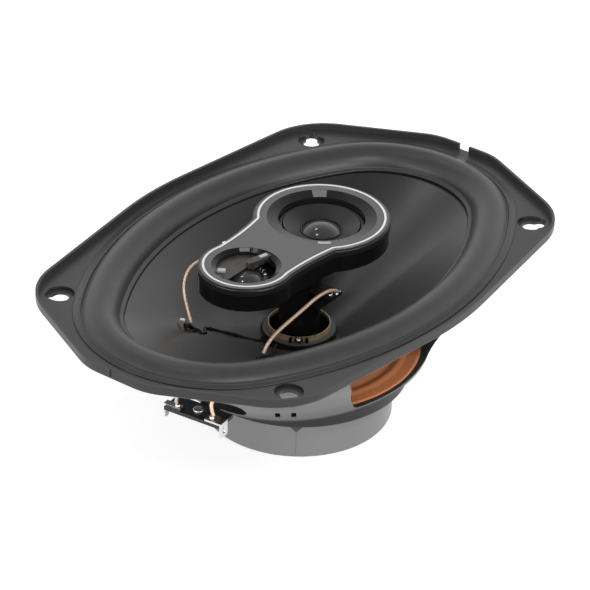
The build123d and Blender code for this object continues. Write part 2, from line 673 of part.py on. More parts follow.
def bridge_bezel():
    bezel = slab(figure_eight(BEZEL_GROW), BEZEL_Z, BEZEL_TOP_Z)
    bezel = fillet(bezel.edges().group_by(Axis.Z)[-1], BEZEL_ROUND)
    for sizes, x in ((MID_MOUTH, MID_X), (TWEETER_MOUTH, TWEETER_X)):
        bezel += disc(sizes[1] + SLEEVE_WALL, SLEEVE_Z, BEZEL_Z, x)
        bezel -= mouth(sizes, x)
    groove = figure_eight(TRIM_WIDTH / 2) - figure_eight(-TRIM_WIDTH / 2)
    return bezel - slab(groove, BEZEL_TOP_Z - TRIM_DEPTH, BEZEL_TOP_Z)


def silver_trim():
    line = figure_eight(TRIM_WIDTH / 2) - figure_eight(-TRIM_WIDTH / 2)
    return slab(line, BEZEL_TOP_Z - TRIM_DEPTH, BEZEL_TOP_Z + TRIM_HEIGHT)


# --- small drivers -----------------------------------------------------------------------------------

def dome_shell(radius, height, low, wall, x):
    """Thin spherical cap that stands on the height low."""
    ball = (radius ** 2 + height ** 2) / (2 * height)
    centre = low + height - ball
    cap = disc(radius, low, low + height, x) & (Pos(x, 0, centre) * Sphere(ball))
    return cap - (Pos(x, 0, centre) * Sphere(ball - wall))


def small_yoke(gap_out_r, coil_low, x):
    """Steel cup that stands on the bridge's floor."""
    low = BRIDGE_Z + BRIDGE_FLOOR
    wall = 1.5
    top = coil_low + YOKE_RISE
    return disc(gap_out_r + wall, low, top, x) - disc(gap_out_r, low + YOKE_FLOOR, top, x)


def small_coil(radius, top, length, x):
    return tube(radius + 0.35, radius, top - length, top, x)


def small_chassis(outer, inner, top, x):
    """Plastic ring from the bridge's floor up to the driver's soft edge."""
    wall = 1.4
    low = BRIDGE_Z + BRIDGE_FLOOR
    return turned([
        (outer, low), (outer, top), (inner, top), (inner, top - wall),
        (outer - wall, top - wall), (outer - wall, low)], x)


def soft_edge(inner, outer, z, x):
    """Small half roll round a small driver's diaphragm."""
    middle = (inner + outer) / 2
    return turned([
        (inner, z), (inner, z + 0.35), (middle - 0.6, z + 0.8), (middle + 0.6, z + 0.8),
        (outer, z + 0.35), (outer, z)], x)


def mid_cone():
    back = [(MID_NECK_R, MID_NECK_Z), (MID_EDGE_R, MID_EDGE_Z)]
    front = [(r, z + MID_PAPER) for r, z in reversed(back)]
    return turned(back + front, MID_X)


def build_mid():
    coil_top = MID_NECK_Z
    coil_low = coil_top - MID_COIL_LENGTH
    floor = BRIDGE_Z + BRIDGE_FLOOR + YOKE_FLOOR
    magnet_top = floor + MID_MAGNET_HEIGHT
    roll_inner = MID_EDGE_R + 0.3
    roll_outer = MID_MOUTH[1] - 0.2
    roll_z = MID_EDGE_Z - 0.9
    return {
        "mid_cone": mid_cone(),
        "mid_dust_cap": dome_shell(MID_DOME_R, MID_DOME_HEIGHT, MID_DOME_Z, 0.4, MID_X),
        "mid_voice_coil": small_coil(MID_NECK_R, coil_top, MID_COIL_LENGTH, MID_X),
        "mid_edge_roll": soft_edge(roll_inner, roll_outer, roll_z, MID_X),
        "mid_chassis": small_chassis(MID_MOUTH[1] + SLEEVE_WALL, roll_outer - 0.9, roll_z, MID_X),
        "mid_yoke": small_yoke(MID_NECK_R + 0.35 + SMALL_GAP, coil_low, MID_X),
        "mid_magnet": disc(MID_MAGNET_R, floor, magnet_top, MID_X),
        "mid_pole_disc": disc(MID_NECK_R - SMALL_GAP, magnet_top, magnet_top + SMALL_POLE_THICK, MID_X),
    }


def phase_plate():
    """Plate over half of the dome, with a bright bar that runs to the mouth's wall."""
    plate_top = PHASE_PLATE_Z + PHASE_PLATE_THICK
    bore = TWEETER_MOUTH[1]
    half = Circle(bore) & Pos(0, PHASE_PLATE_EDGE + bore) * Rectangle(3 * bore, 2 * bore)
    length, width = PHASE_RIB
    rib = Pos(length / 2 + 2.4, PHASE_PLATE_EDGE + 0.2 - width / 2) * Rectangle(length, width)
    plate = slab(half + rib, PHASE_PLATE_Z, plate_top)
    bar_width, bar_depth = PHASE_BAR
    bar = slab(band(PHASE_BAR_ENDS, bar_width), PHASE_PLATE_Z, BEZEL_TOP_Z - bar_depth)
    room = Pos(-TWEETER_X, 0) * mouth(TWEETER_MOUTH, TWEETER_X)
    return Pos(TWEETER_X, 0) * ((plate + bar) & room)


def build_tweeter():
    coil_r = DOME_R - 0.5
    coil_low = DOME_Z - TWEETER_COIL_LENGTH
    floor = BRIDGE_Z + BRIDGE_FLOOR + YOKE_FLOOR
    magnet_top = floor + TWEETER_MAGNET_HEIGHT
    roll_inner, roll_outer = TWEETER_ROLL
    roll_z = DOME_Z - 0.4
    return {
        "tweeter_dome": dome_shell(DOME_R, DOME_HEIGHT, DOME_Z, DOME_SHELL, TWEETER_X),
        "tweeter_voice_coil": small_coil(coil_r, DOME_Z, TWEETER_COIL_LENGTH, TWEETER_X),
        "tweeter_edge_roll": soft_edge(roll_inner, roll_outer, roll_z, TWEETER_X),
        "tweeter_chassis": small_chassis(TWEETER_MOUTH[1] + SLEEVE_WALL, roll_outer - 0.6, roll_z, TWEETER_X),
        "tweeter_yoke": small_yoke(coil_r + 0.35 + SMALL_GAP, coil_low, TWEETER_X),
        "tweeter_magnet": disc(TWEETER_MAGNET_R, floor, magnet_top, TWEETER_X),
        "tweeter_pole_disc": disc(coil_r - SMALL_GAP, magnet_top, magnet_top + SMALL_POLE_THICK, TWEETER_X),
        "tweeter_phase_plate": phase_plate(),
    }


# --- crossover and terminals ---------------------------------------------------------------------------

def crossover_board():
    """Two small boards that stand out of the post, one each side."""
    length, width, thick = BOARD_SIZE
    pieces = []
    for side in (-1, 1):
        place = Pos(0, side * (POST_R + length / 2 - 1.0), BOARD_Z)
        board = place * Box(width, length, thick)
        pieces.append(board - disc(POST_R, BOARD_Z - thick, BOARD_Z + thick))
    return Compound(children=[p.solid() for p in pieces])


def crossover_capacitors():
    """Two capacitors that lie under the boards, against the post."""
    pieces = []
    for side in (-1, 1):
        top = BOARD_Z - BOARD_SIZE[2] / 2
        place = Pos(0, side * (POST_R + CAPACITOR_R + 0.1), top - CAPACITOR_R)
        pieces.append(place * Rot(0, 90, 0) * Cylinder(CAPACITOR_R, CAPACITOR_LENGTH))
    return Compound(children=[p.solid() for p in pieces])


def crossover_solder():
    pieces = []
    top = BOARD_Z + BOARD_SIZE[2] / 2
    reach = POST_R + BOARD_SIZE[0] - SOLDER_INSET
    half_ball = Sphere(SOLDER_R) & slab(Circle(2 * SOLDER_R), 0, SOLDER_R)
    for side in (-1, 1):
        for step in (-1, 1):
            pieces.append(Pos(step * SOLDER_PITCH / 2, side * reach, top) * half_ball)
    return Compound(children=[p.solid() for p in pieces])


def at_terminals(shape):
    """Moves a shape made round the board's centre to the board's place."""
    return Pos(*TERMINAL_SPOT) * Rot(0, 0, TERMINAL_TURN) * shape


def terminal_board():
    length, width, thick = TERMINAL_BOARD
    board = Pos(0, 0, TERMINAL_TOP_Z - thick / 2) * Box(length, width, thick)
    return at_terminals(board - disc(RIVET_R, SHELF_Z, TERMINAL_TOP_Z))


def terminal_rivet():
    """Rivet that holds the board on the bracket."""
    shank = disc(RIVET_R, SHELF_Z, TERMINAL_TOP_Z)
    head = fillet(disc(RIVET_HEAD_R, TERMINAL_TOP_Z, TERMINAL_TOP_Z + 1.0).edges().group_by(Axis.Z)[-1], 0.6)
    return at_terminals(shank + head)


def terminal_lug(side, width):
    """Pad on the board that turns down past the board's end as a blade."""
    end = TERMINAL_BOARD[1] / 2
    top = TERMINAL_TOP_Z + LUG_THICK
    reach = LUG_PAD_LENGTH + LUG_THICK
    flat = Pos(LUG_SHIFT, end + LUG_THICK - reach / 2, top - LUG_THICK / 2) * Box(width, reach, LUG_THICK)
    middle = top - LUG_DROP / 2
    blade = Pos(LUG_SHIFT, end + LUG_THICK / 2, middle) * Box(width, LUG_THICK, LUG_DROP)
    blade = fillet(blade.edges().filter_by(Axis.Y).group_by(Axis.Z)[0], 1.0)
    slot_width, slot_height = LUG_SLOT
    slot = Plane.XZ * SlotOverall(slot_height, slot_width, rotation=90)
    hole = Pos(LUG_SHIFT, end + 3 * LUG_THICK, middle) * extrude(slot, 6 * LUG_THICK)
    lug = flat + (blade - hole)
    return at_terminals(lug if side > 0 else mirror(lug, Plane.XZ))


def terminal_solder():
    """Solder domes that hold the leads on the two pads."""
    top = TERMINAL_TOP_Z + LUG_THICK
    half_ball = Sphere(SOLDER_R) & slab(Circle(2 * SOLDER_R), 0, SOLDER_R)
    pieces = [at_terminals(Pos(LUG_SHIFT, side * PAD_Y, top) * half_ball) for side in (-1, 1)]
    return Compound(children=[p.solid() for p in pieces])


def terminal_bracket():
    """Tab of sheet steel that runs from the basket's shelf under the board."""
    near = -SHELF_HALF_WIDTH
    far = TERMINAL_SPOT[0] - 2.0
    tab = Pos((near + far) / 2, TERMINAL_SPOT[1]) * Rectangle(near - far, BRACKET_WIDTH)
    return slab(tab, SHELF_Z - SHEET, SHELF_Z)


# --- leads -----------------------------------------------------------------------------------------------

def braid(points, radii):
    """Round flexible lead along straight runs joined by arcs."""
    path = FilletPolyline(*points, radius=radii)
    start = Plane(origin=path @ 0, z_dir=path % 0)
    return sweep(start * Circle(BRAID_R), path=path)


def arc_radii(points):
    """Largest arc that two neighbouring runs leave room for, at each corner."""
    radii = []
    for before, corner, after in zip(points, points[1:], points[2:]):
        run_in = Vector(*corner) - Vector(*before)
        run_out = Vector(*after) - Vector(*corner)
        half_turn = math.radians(run_in.get_angle(run_out)) / 2
        radii.append(0.45 * min(run_in.length, run_out.length) / math.tan(half_turn))
    return radii


def lead(points):
    return braid(points, arc_radii(points))


EYELET = cone_point(EYELET_SHARE, EYELET_TURN, CONE_PAPER + 2 * GLUE_LAYER)


def upper_lead(runs, side):
    """Lead from the end of a crossover board to the eyelet on the same side."""
    board_end = POST_R + BOARD_SIZE[0] - 1.5
    start = Vector(1.0, side * board_end, BOARD_Z + BOARD_SIZE[2] / 2 + BRAID_R)
    end = Vector(EYELET.X + 1.8, side * EYELET.Y, EYELET.Z + 0.3)
    room = BRIDGE_Z - start.Z
    fitted = [(share, out, up * room / LEAD_ROOM) for share, out, up in runs]
    return lead(along(start, end, fitted, side))


def terminal_leads():
    """Leads that rise from the two pads to the back of the cone."""
    pieces = []
    for side in (-1, 1):
        pad = at_terminals(Pos(LUG_SHIFT, side * PAD_Y)).position
        start = Vector(pad.X, pad.Y, TERMINAL_TOP_Z + LUG_THICK + SOLDER_R + 0.1)
        back = cone_point(*BACK_LEAD_END, lift=-2 * BRAID_R)
        end = Vector(back.X, side * back.Y, back.Z)
        pieces.append(lead(along(start, end, BACK_LEAD, side)))
    return Compound(children=[p.solid() for p in pieces])


# --- all the nodes -------------------------------------------------------------------

def build_all():
    nodes = {
        "basket_frame": basket() + terminal_bracket(),
        "surround": surround(),
        "surround_gasket": gasket(),
        "cone": cone(),
        "spider": spider(),
        "voice_coil_former": voice_coil_former(),
        "voice_coil_winding": voice_coil_winding(),
        "neck_glue_ring": neck_glue_ring(),
        "cone_eyelets": eyelets(),
        "coil_lead_lines": coil_lead_lines(),
        "coil_solder_joints": coil_solder(),
        "coil_wire_sleeves": coil_sleeves(),
        "magnet_cover": magnet_cover(),
        "yoke": yoke(),
        "magnet_ring": magnet_ring(),
        "top_plate": top_plate(),
        "centre_post": centre_post(),
        "post_screw": post_screw(),
        "bridge_housing": bridge_housing(),
        "bridge_bezel": bridge_bezel(),
        "silver_trim": silver_trim(),
        "crossover_boards": crossover_board(),
        "crossover_capacitors": crossover_capacitors(),
        "crossover_solder": crossover_solder(),
        "terminal_board": terminal_board(),
        "terminal_rivet": terminal_rivet(),
        "terminal_solder": terminal_solder(),
        "terminal_positive": terminal_lug(-1, LUG_WIDTH),
        "terminal_negative": terminal_lug(1, NARROW_LUG_WIDTH),
        "lead_right": upper_lead(RIGHT_LEAD, -1),
        "lead_left": upper_lead(LEFT_LEAD, 1),
        "terminal_leads": terminal_leads(),
    }
    nodes.update(build_mid())
    nodes.update(build_tweeter())
    return nodes


os.makedirs("parts", exist_ok=True)
for name, shape in build_all().items():
    export_step(shape, f"parts/{name}.step")
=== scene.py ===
"""Dressed scene of an oval three-way coaxial car speaker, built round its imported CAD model.

The frame is in metres: +Z is the way the cone faces and +X runs along the long axis, away from the tweeter.
Sizes and places of the modelled pieces are in millimetres in that frame, and mesh_object makes metres of
them. Materials, floor, camera and lamps are in metres.
"""
import json
import math
import random

import bpy
from mathutils import Matrix, Vector


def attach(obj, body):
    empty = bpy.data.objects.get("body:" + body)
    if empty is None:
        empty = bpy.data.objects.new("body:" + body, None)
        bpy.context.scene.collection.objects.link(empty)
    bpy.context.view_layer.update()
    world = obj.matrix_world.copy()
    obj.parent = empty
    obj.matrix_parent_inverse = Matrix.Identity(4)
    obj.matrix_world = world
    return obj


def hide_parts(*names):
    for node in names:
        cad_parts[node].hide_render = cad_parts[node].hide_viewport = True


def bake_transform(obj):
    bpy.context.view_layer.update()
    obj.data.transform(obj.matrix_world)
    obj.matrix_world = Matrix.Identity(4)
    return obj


MM = 0.001
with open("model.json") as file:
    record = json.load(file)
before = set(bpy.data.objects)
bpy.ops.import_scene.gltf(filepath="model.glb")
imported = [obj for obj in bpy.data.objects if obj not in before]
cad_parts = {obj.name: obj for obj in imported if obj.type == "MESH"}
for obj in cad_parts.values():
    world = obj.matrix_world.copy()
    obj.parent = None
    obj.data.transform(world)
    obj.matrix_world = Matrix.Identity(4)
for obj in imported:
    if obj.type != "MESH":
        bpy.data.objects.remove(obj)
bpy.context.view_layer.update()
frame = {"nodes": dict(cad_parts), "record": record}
cad = frame["nodes"]


# --- nodes and materials --------------------------------------------------------

class Nodes:
    """A node tree with short ways to add nodes and feed their sockets."""

    def __init__(self, tree):
        self.tree = tree

    def node(self, kind, **settings):
        made = self.tree.nodes.new(kind)
        for key, value in settings.items():
            setattr(made, key, value)
        return made

    def feed(self, socket, source):
        """Links a socket to another one, or sets it to a fixed value."""
        if isinstance(source, bpy.types.NodeSocket):
            self.tree.links.new(source, socket)
        else:
            socket.default_value = source

    def combine(self, operation, first, second):
        made = self.node("ShaderNodeMath", operation=operation)
        self.feed(made.inputs[0], first)
        self.feed(made.inputs[1], second)
        return made.outputs[0]

    def upright_part(self, vector):
        split = self.node("ShaderNodeSeparateXYZ")
        self.feed(split.inputs[0], vector)
        return split.outputs["Z"]

    def mapped(self, value, come_from, go_to, **settings):
        """Takes a value from one range to another."""
        made = self.node("ShaderNodeMapRange", **settings)
        self.feed(made.inputs["Value"], value)
        for socket, number in zip(("From Min", "From Max", "To Min", "To Max"), (*come_from, *go_to)):
            self.feed(made.inputs[socket], number)
        return made.outputs["Result"]

    def fade(self, value, start, end, go_to=(0.0, 1.0)):
        """Like mapped, but eased at both ends. The start may be larger than the end."""
        return self.mapped(value, (start, end), go_to, interpolation_type="SMOOTHSTEP")


# LEVEL and TURNED bound the fade of the painted shade on faces that don't look up.
LEVEL, TURNED = 0.99, 0.972         # upright part of a level face's direction, and of a side face's
# OUTWARD and the blends below bound the basket's painted light and shade.
OUTWARD = (0.008, 0.035)            # how far a face's plane stands out from the upright axis
LOW_BLEND, HIGH_BLEND = 0.0005, 0.002       # half heights of the blends at the ends of the basket's wall


class Paint(Nodes):
    """A Principled material with helpers for what drives its colour, roughness and bump."""

    def __init__(self, name, colour, roughness, **sockets):
        self.material = bpy.data.materials.new(name)
        self.material.use_nodes = True
        super().__init__(self.material.node_tree)
        self.inputs = self.tree.nodes["Principled BSDF"].inputs
        self.inputs["Base Color"].default_value = (*colour, 1.0)
        self.inputs["Roughness"].default_value = roughness
        for socket, value in sockets.items():
            self.inputs[socket.replace("_", " ")].default_value = value
        self.colour = colour
        self.roughness = roughness

    def place(self):
        """Object coordinates, which are the frame's own."""
        return self.node("ShaderNodeTexCoord").outputs["Object"]

    def height(self):
        return self.upright_part(self.place())

    def facing(self):
        """Direction that each flat face of the mesh has."""
        return self.node("ShaderNodeNewGeometry").outputs["True Normal"]

    def noise(self, size, detail):
        """Noise whose features are about the given size."""
        made = self.node("ShaderNodeTexNoise")
        made.inputs["Scale"].default_value = 1.0 / size
        made.inputs["Detail"].default_value = detail
        self.feed(made.inputs["Vector"], self.place())
        return made.outputs["Fac"]

    def patches(self, size, low, high):
        """Values from low to high, over the noise's middle half, in patches of about the given size."""
        return self.mapped(self.noise(size, 3.0), (0.25, 0.75), (low, high))

    def vary_roughness(self, size, amount):
        patches = self.patches(size, self.roughness - amount, self.roughness + amount)
        self.feed(self.inputs["Roughness"], patches)
        return self

    def vary_colour(self, size, other):
        return self.mix_by(self.patches(size, 0.0, 1.0), other)

    def mix_by(self, factor, other):
        """Goes from the colour so far to another one as the factor goes from 0 to 1."""
        base = self.inputs["Base Color"]
        mix = self.node("ShaderNodeMix", data_type="RGBA")
        self.feed(mix.inputs["A"], base.links[0].from_socket if base.links else (*self.colour, 1.0))
        self.feed(mix.inputs["B"], (*other, 1.0))
        self.feed(mix.inputs["Factor"], factor)
        self.feed(base, mix.outputs["Result"])
        return self

    def grain(self, size, strength, depth):
        """Fine bump of the given size and depth."""
        made = self.node("ShaderNodeBump")
        made.inputs["Strength"].default_value = strength
        made.inputs["Distance"].default_value = depth
        self.feed(made.inputs["Height"], self.noise(size, 2.0))
        self.feed(self.inputs["Normal"], made.outputs["Normal"])
        return self

    def outside(self, low, high, wall, rim, bottom):
        """Painted light and shade: paler faces that look outward between two heights, darker ones above
        them, and all darker below.
        """
        flat = self.node("ShaderNodeVectorMath", operation="MULTIPLY")
        self.feed(flat.inputs[0], self.place())
        self.feed(flat.inputs[1], (1, 1, 0))
        away = self.node("ShaderNodeVectorMath", operation="DOT_PRODUCT")
        self.feed(away.inputs[0], flat.outputs["Vector"])
        self.feed(away.inputs[1], self.facing())
        outward = self.fade(away.outputs["Value"], *OUTWARD)
        over_low = self.fade(self.height(), low - LOW_BLEND, low + LOW_BLEND)
        under_low = self.fade(self.height(), low + LOW_BLEND, low - LOW_BLEND)
        over_high = self.fade(self.height(), high - HIGH_BLEND, high + HIGH_BLEND)
        under_high = self.fade(self.height(), high + HIGH_BLEND, high - HIGH_BLEND)
        between = self.combine("MULTIPLY", over_low, under_high)
        # The outward wall takes painted light, the outward rim above it painted shade, and every face below
        # the wall painted shade.
        self.mix_by(self.combine("MULTIPLY", outward, over_high), rim)
        self.mix_by(under_low, bottom)
        return self.mix_by(self.combine("MULTIPLY", outward, between), wall)

    def sides(self, other, roughness):
        """A darker colour on the faces that don't look up, which is painted shade, and another roughness on
        them.
        """
        turned = self.fade(self.upright_part(self.facing()), LEVEL, TURNED)
        self.feed(self.inputs["Roughness"], self.mapped(turned, (0.0, 1.0), (self.roughness, roughness)))
        return self.mix_by(turned, other)


def grey(level):
    return (level, level, level)


# Between these heights the basket's outward wall is painted paler, as painted light.
BASKET_LIT_WALL = (0.0297, 0.064)       # heights between which the basket's wall is paler outside


def make_paints():
    """One paint for each slot of the record, and four more for small pieces that look different."""
    paints = {}

    def add(slot, colour, roughness, **sockets):
        paints[slot] = Paint(slot, colour, roughness, **sockets)
        return paints[slot]

    steel = add("basket_steel", grey(0.040), 0.36, Specular_IOR_Level=0.5).vary_roughness(0.0012, 0.05)
    # Painted light on the basket's outward wall, painted shade on its outward rim and on all below the
    # wall.
    steel.outside(*BASKET_LIT_WALL, wall=grey(0.13), rim=grey(0.018), bottom=grey(0.005))
    steel.grain(0.0006, 0.15, 0.00004)
    rubber = add("surround_rubber", grey(0.036), 0.38, Specular_IOR_Level=0.6)
    rubber.vary_colour(0.004, grey(0.044)).grain(0.0007, 0.25, 0.00005)
    add("gasket_paper", grey(0.05), 0.4).grain(0.0006, 0.2, 0.00005)
    cone = add("cone_paper", grey(0.016), 0.32, Specular_IOR_Level=0.85)
    cone.vary_roughness(0.02, 0.04).grain(0.0005, 0.15, 0.00003)
    cloth = add("spider_cloth", (0.86, 0.32, 0.13), 0.8, Specular_IOR_Level=0.2)
    cloth.vary_colour(0.0007, (0.70, 0.245, 0.095)).grain(0.0007, 0.5, 0.0001)
    add("former_foil", (0.62, 0.46, 0.24), 0.3, Metallic=0.35).vary_roughness(0.002, 0.08)
    add("copper_wire", (0.95, 0.68, 0.50), 0.36, Metallic=0.6)
    add("black_glue", grey(0.004), 0.15, Specular_IOR_Level=0.25)
    add("grey_glue", grey(0.10), 0.5).grain(0.0015, 0.4, 0.0002)
    add("solder", grey(0.95), 0.2, Metallic=1.0).grain(0.0012, 0.4, 0.0001)
    add("cover_steel", grey(0.24), 0.35, Metallic=0.2).vary_roughness(0.004, 0.05)
    add("zinc_steel", grey(0.45), 0.35, Metallic=1.0).vary_roughness(0.003, 0.08)
    add("ferrite", grey(0.03), 0.6).grain(0.0006, 0.3, 0.00005)
    add("black_plastic", grey(0.008), 0.35, Specular_IOR_Level=0.3).grain(0.0006, 0.1, 0.00003)
    add("housing_gloss", grey(0.004), 0.08, Specular_IOR_Level=0.3)
    bezel = add("bezel_satin", grey(0.12), 0.30, Specular_IOR_Level=0.3)
    # Painted shade: the bezel's chamfers, walls and sides are darker; they are also glossier.
    bezel.sides(grey(0.010), 0.2).grain(0.0004, 0.08, 0.00002)
    add("silver_line", grey(0.95), 0.16, Metallic=1.0)
    add("mid_paper", grey(0.018), 0.4, Specular_IOR_Level=0.45).grain(0.0006, 0.1, 0.00003)
    add("dome_gloss", grey(0.05), 0.09, Specular_IOR_Level=0.9)
    # Painted highlights on the mouths' chamfers and the phase plate's bar; the pale one also colours the
    # stop block.
    add("painted_highlight_soft", grey(0.16), 0.35)
    add("painted_highlight_and_pale_block", grey(0.5), 0.35)
    add("seam_grey", grey(0.15), 0.4)
    add("neck_black", grey(0.002), 0.6, Specular_IOR_Level=0.05)
    plate = add("phase_satin", (0.014, 0.012, 0.011), 0.35)
    plate.vary_colour(0.0016, (0.07, 0.064, 0.058)).grain(0.0012, 0.6, 0.0002)
    add("board_black", grey(0.014), 0.4).grain(0.0008, 0.2, 0.00004)
    add("terminal_tin", grey(0.75), 0.3, Metallic=1.0).vary_roughness(0.002, 0.08)
    for slot in ("copper_wire", "black_glue", "housing_gloss", "silver_line", "dome_gloss",
                 "painted_highlight_soft", "painted_highlight_and_pale_block", "seam_grey", "neck_black"):
        paints[slot].vary_roughness(0.002, 0.03)
    return paints


paints = make_paints()


def dress(obj, slot):
    """Gives an object one material."""
    obj.data.materials.clear()
    obj.data.materials.append(paints[slot].material)


for row in frame["record"]["subparts"]:
    dress(cad[row["node"]], row["material_slot"])


# --- mesh helpers ---------------------------------------------------------------

def mesh_object(name, points, faces, slot, smooth=True):
    mesh = bpy.data.meshes.new(name)
    mesh.from_pydata([(x * MM, y * MM, z * MM) for x, y, z in points], [], faces)
    mesh.polygons.foreach_set("use_smooth", [smooth] * len(mesh.polygons))
    obj = bpy.data.objects.new(name, mesh)
    bpy.context.scene.collection.objects.link(obj)
    dress(obj, slot)
    return obj


def joined_mesh(name, parts, slot, smooth=True):
    """One object from several pairs of points and faces."""
    points, faces = [], []
    for some, some_faces in parts:
        base = len(points)
        points += some
        faces += [tuple(index + base for index in face) for face in some_faces]
    return mesh_object(name, points, faces, slot, smooth)


def grid_faces(rows, columns, wrap_rows=False, wrap_columns=False):
    """Quads over a grid of points that is stored row by row."""
    faces = []
    for i in range(rows if wrap_rows else rows - 1):
        for j in range(columns if wrap_columns else columns - 1):
            below = ((i + 1) % rows) * columns
            right = (j + 1) % columns
            faces.append((i * columns + j, i * columns + right, below + right, below + j))
    return faces


def flipped(faces):
    return [tuple(reversed(face)) for face in faces]


def circle(count):
    """Evenly turned directions."""
    angles = [2 * math.pi * i / count for i in range(count)]
    return [(math.cos(angle), math.sin(angle)) for angle in angles]


def turned_ring(section, centre_x=0.0, around=96):
    """Closed section of (radius, height) points turned about an upright axis."""
    points = [(centre_x + r * c, r * s, z) for c, s in circle(around) for r, z in section]
    return points, grid_faces(around, len(section), True, True)


def turned_point(radius, angle, z):
    return (radius * math.cos(angle), radius * math.sin(angle), z)


def block(x, y, z, sizes, turn):
    """Small moulded block with chamfered top edges, given by its middle and its turn in degrees."""
    c, s = math.cos(math.radians(turn)), math.sin(math.radians(turn))
    length, width, height = sizes
    chamfer = 0.25 * min(sizes)
    points = []
    for inset, lift in ((0, -height / 2), (0, height / 2 - chamfer), (chamfer, height / 2)):
        for i, j in ((-1, -1), (1, -1), (1, 1), (-1, 1)):
            px, py = i * (length / 2 - inset), j * (width / 2 - inset)
            points.append((x + px * c - py * s, y + px * s + py * c, z + lift))
    return points, flipped(grid_faces(3, 4, False, True)) + [(3, 2, 1, 0), (8, 9, 10, 11)]


def set_blend(obj):
    """Bakes the object's place into its mesh."""
    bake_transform(obj)


def arc_through(a, b, c, count):
    """Points of the circular arc from a through b to c."""
    a, b, c = (Vector(point) for point in (a, b, c))
    area = (b - a).cross(c - a)
    squares = [point.length_squared for point in (a, b, c)]
    x = (squares[0] * (b.y - c.y) + squares[1] * (c.y - a.y) + squares[2] * (a.y - b.y)) / (2 * area)
    y = (squares[0] * (c.x - b.x) + squares[1] * (a.x - c.x) + squares[2] * (b.x - a.x)) / (2 * area)
    centre = Vector((x, y))
    first, last = ((point - centre).angle_signed(Vector((1, 0))) for point in (a, c))
    if area > 0 and last < first:
        last += 2 * math.pi
    if area < 0 and last > first:
        last -= 2 * math.pi
    radius = (a - centre).length
    angles = [first + (last - first) * i / (count - 1) for i in range(count)]
    return [(centre.x + radius * math.cos(t), centre.y + radius * math.sin(t)) for t in angles]


# --- the ovals and the cone's surface -------------------------------------------

SIDE_CENTRE = 79.8          # centres of the oval's side arcs and end arcs
END_CENTRE = 52.99
TURN = math.atan2(SIDE_CENTRE, END_CENTRE)
END_SHIFT = SIDE_CENTRE - math.hypot(SIDE_CENTRE, END_CENTRE)
NECK_R, NECK_Z = 14.2, 36.0
CONE_HALF_WIDTH, CONE_RIM_Z = 55.0, 67.0
CONE_PAPER = 1.1
RIM_ARCS = (                # centre and radius of the rim's end arc and of its side arc
    (END_CENTRE, 0, CONE_HALF_WIDTH + END_SHIFT),
    (0, -SIDE_CENTRE, CONE_HALF_WIDTH + SIDE_CENTRE),
)


def oval_stations(count):
    """Evenly turned stations round the oval: centre, direction and radius less the half width."""
    stations = []
    for c, s in circle(count):
        at_end = abs(c) >= math.cos(TURN)
        centre = (math.copysign(END_CENTRE, c), 0) if at_end else (0, -math.copysign(SIDE_CENTRE, s))
        stations.append((centre, (c, s), END_SHIFT if at_end else SIDE_CENTRE))
    return stations


def oval_point(station, half_width, z, ovality=1.0):
    (cx, cy), (ux, uy), shift = station
    radius = half_width + shift * ovality
    return (cx * ovality + radius * ux, cy * ovality + radius * uy, z)


def cone_share(x, y):
    """0 at the cone's neck and 1 at its rim, for a point on the cone seen from the front.

    Between the two, an arc's centre and radius change evenly from the neck's to the rim's.
    """
    x, y = abs(x), abs(y)
    for cx, cy, rim_r in RIM_ARCS:
        flare = rim_r - NECK_R
        lean = cx ** 2 + cy ** 2 - flare ** 2
        half = x * cx + y * cy + NECK_R * flare
        rest = x ** 2 + y ** 2 - NECK_R ** 2
        share = (half - math.sqrt(max(half ** 2 - lean * rest, 0))) / lean
        if math.atan2(y - cy * share, x - cx * share) <= TURN:
            break
    return share


def cone_front(x, y):
    return NECK_Z + CONE_PAPER + (CONE_RIM_Z - NECK_Z) * cone_share(x, y)


# --- surround and spider --------------------------------------------------------

ROLL_MIDDLE = 62.5          # half width at the middle of the rubber roll
ROLL_HALF = 7.5
ROLL_CREST = (-0.4, 75.1)   # the crest's shift inwards and its height
SKIN = 0.9
EDGE = 0.5                  # thickness of the surround's flat outer edge
EDGE_Z = 67.3               # underside of the surround's inner edge
INNER_EDGE = 1.5            # width of the inner edge on the cone's rim
GASKET_WIDTH = 3.4
BEVEL = 0.2
FLANGE_Z = 71.0
FOOT_GAP, FOOT_WIDTH = 0.15, 1.0        # raised line round the roll's outer foot
FOOT_SINK, FOOT_RISE = 0.05, 0.3


def surround_outline():
    """Closed outline of the surround's section as (shift from the roll's middle, height) points."""
    half, (crest, crest_z) = ROLL_HALF, ROLL_CREST
    top = arc_through((-half, EDGE_Z + SKIN), (crest, crest_z), (half, FLANGE_Z + EDGE), 26)
    under = arc_through((half - SKIN, FLANGE_Z), (crest, crest_z - SKIN), (-half + SKIN, EDGE_Z), 18)
    inner, outer = -half - INNER_EDGE, half + GASKET_WIDTH
    lip_in = [(inner, EDGE_Z), (inner, EDGE_Z + SKIN - BEVEL), (inner + BEVEL, EDGE_Z + SKIN)]
    lip_out = [(outer - 1.25 * BEVEL, FLANGE_Z + EDGE), (outer, FLANGE_Z + EDGE - BEVEL), (outer, FLANGE_Z)]
    return lip_in + top + lip_out + under


def add_surround():
    outline = surround_outline()
    stations = oval_stations(360)
    points = [oval_point(station, ROLL_MIDDLE + x, z) for station in stations for x, z in outline]
    faces = grid_faces(len(stations), len(outline), True, True)
    obj = mesh_object("rubber_surround", points, faces, "surround_rubber")
    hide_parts("surround")
    set_blend(obj)


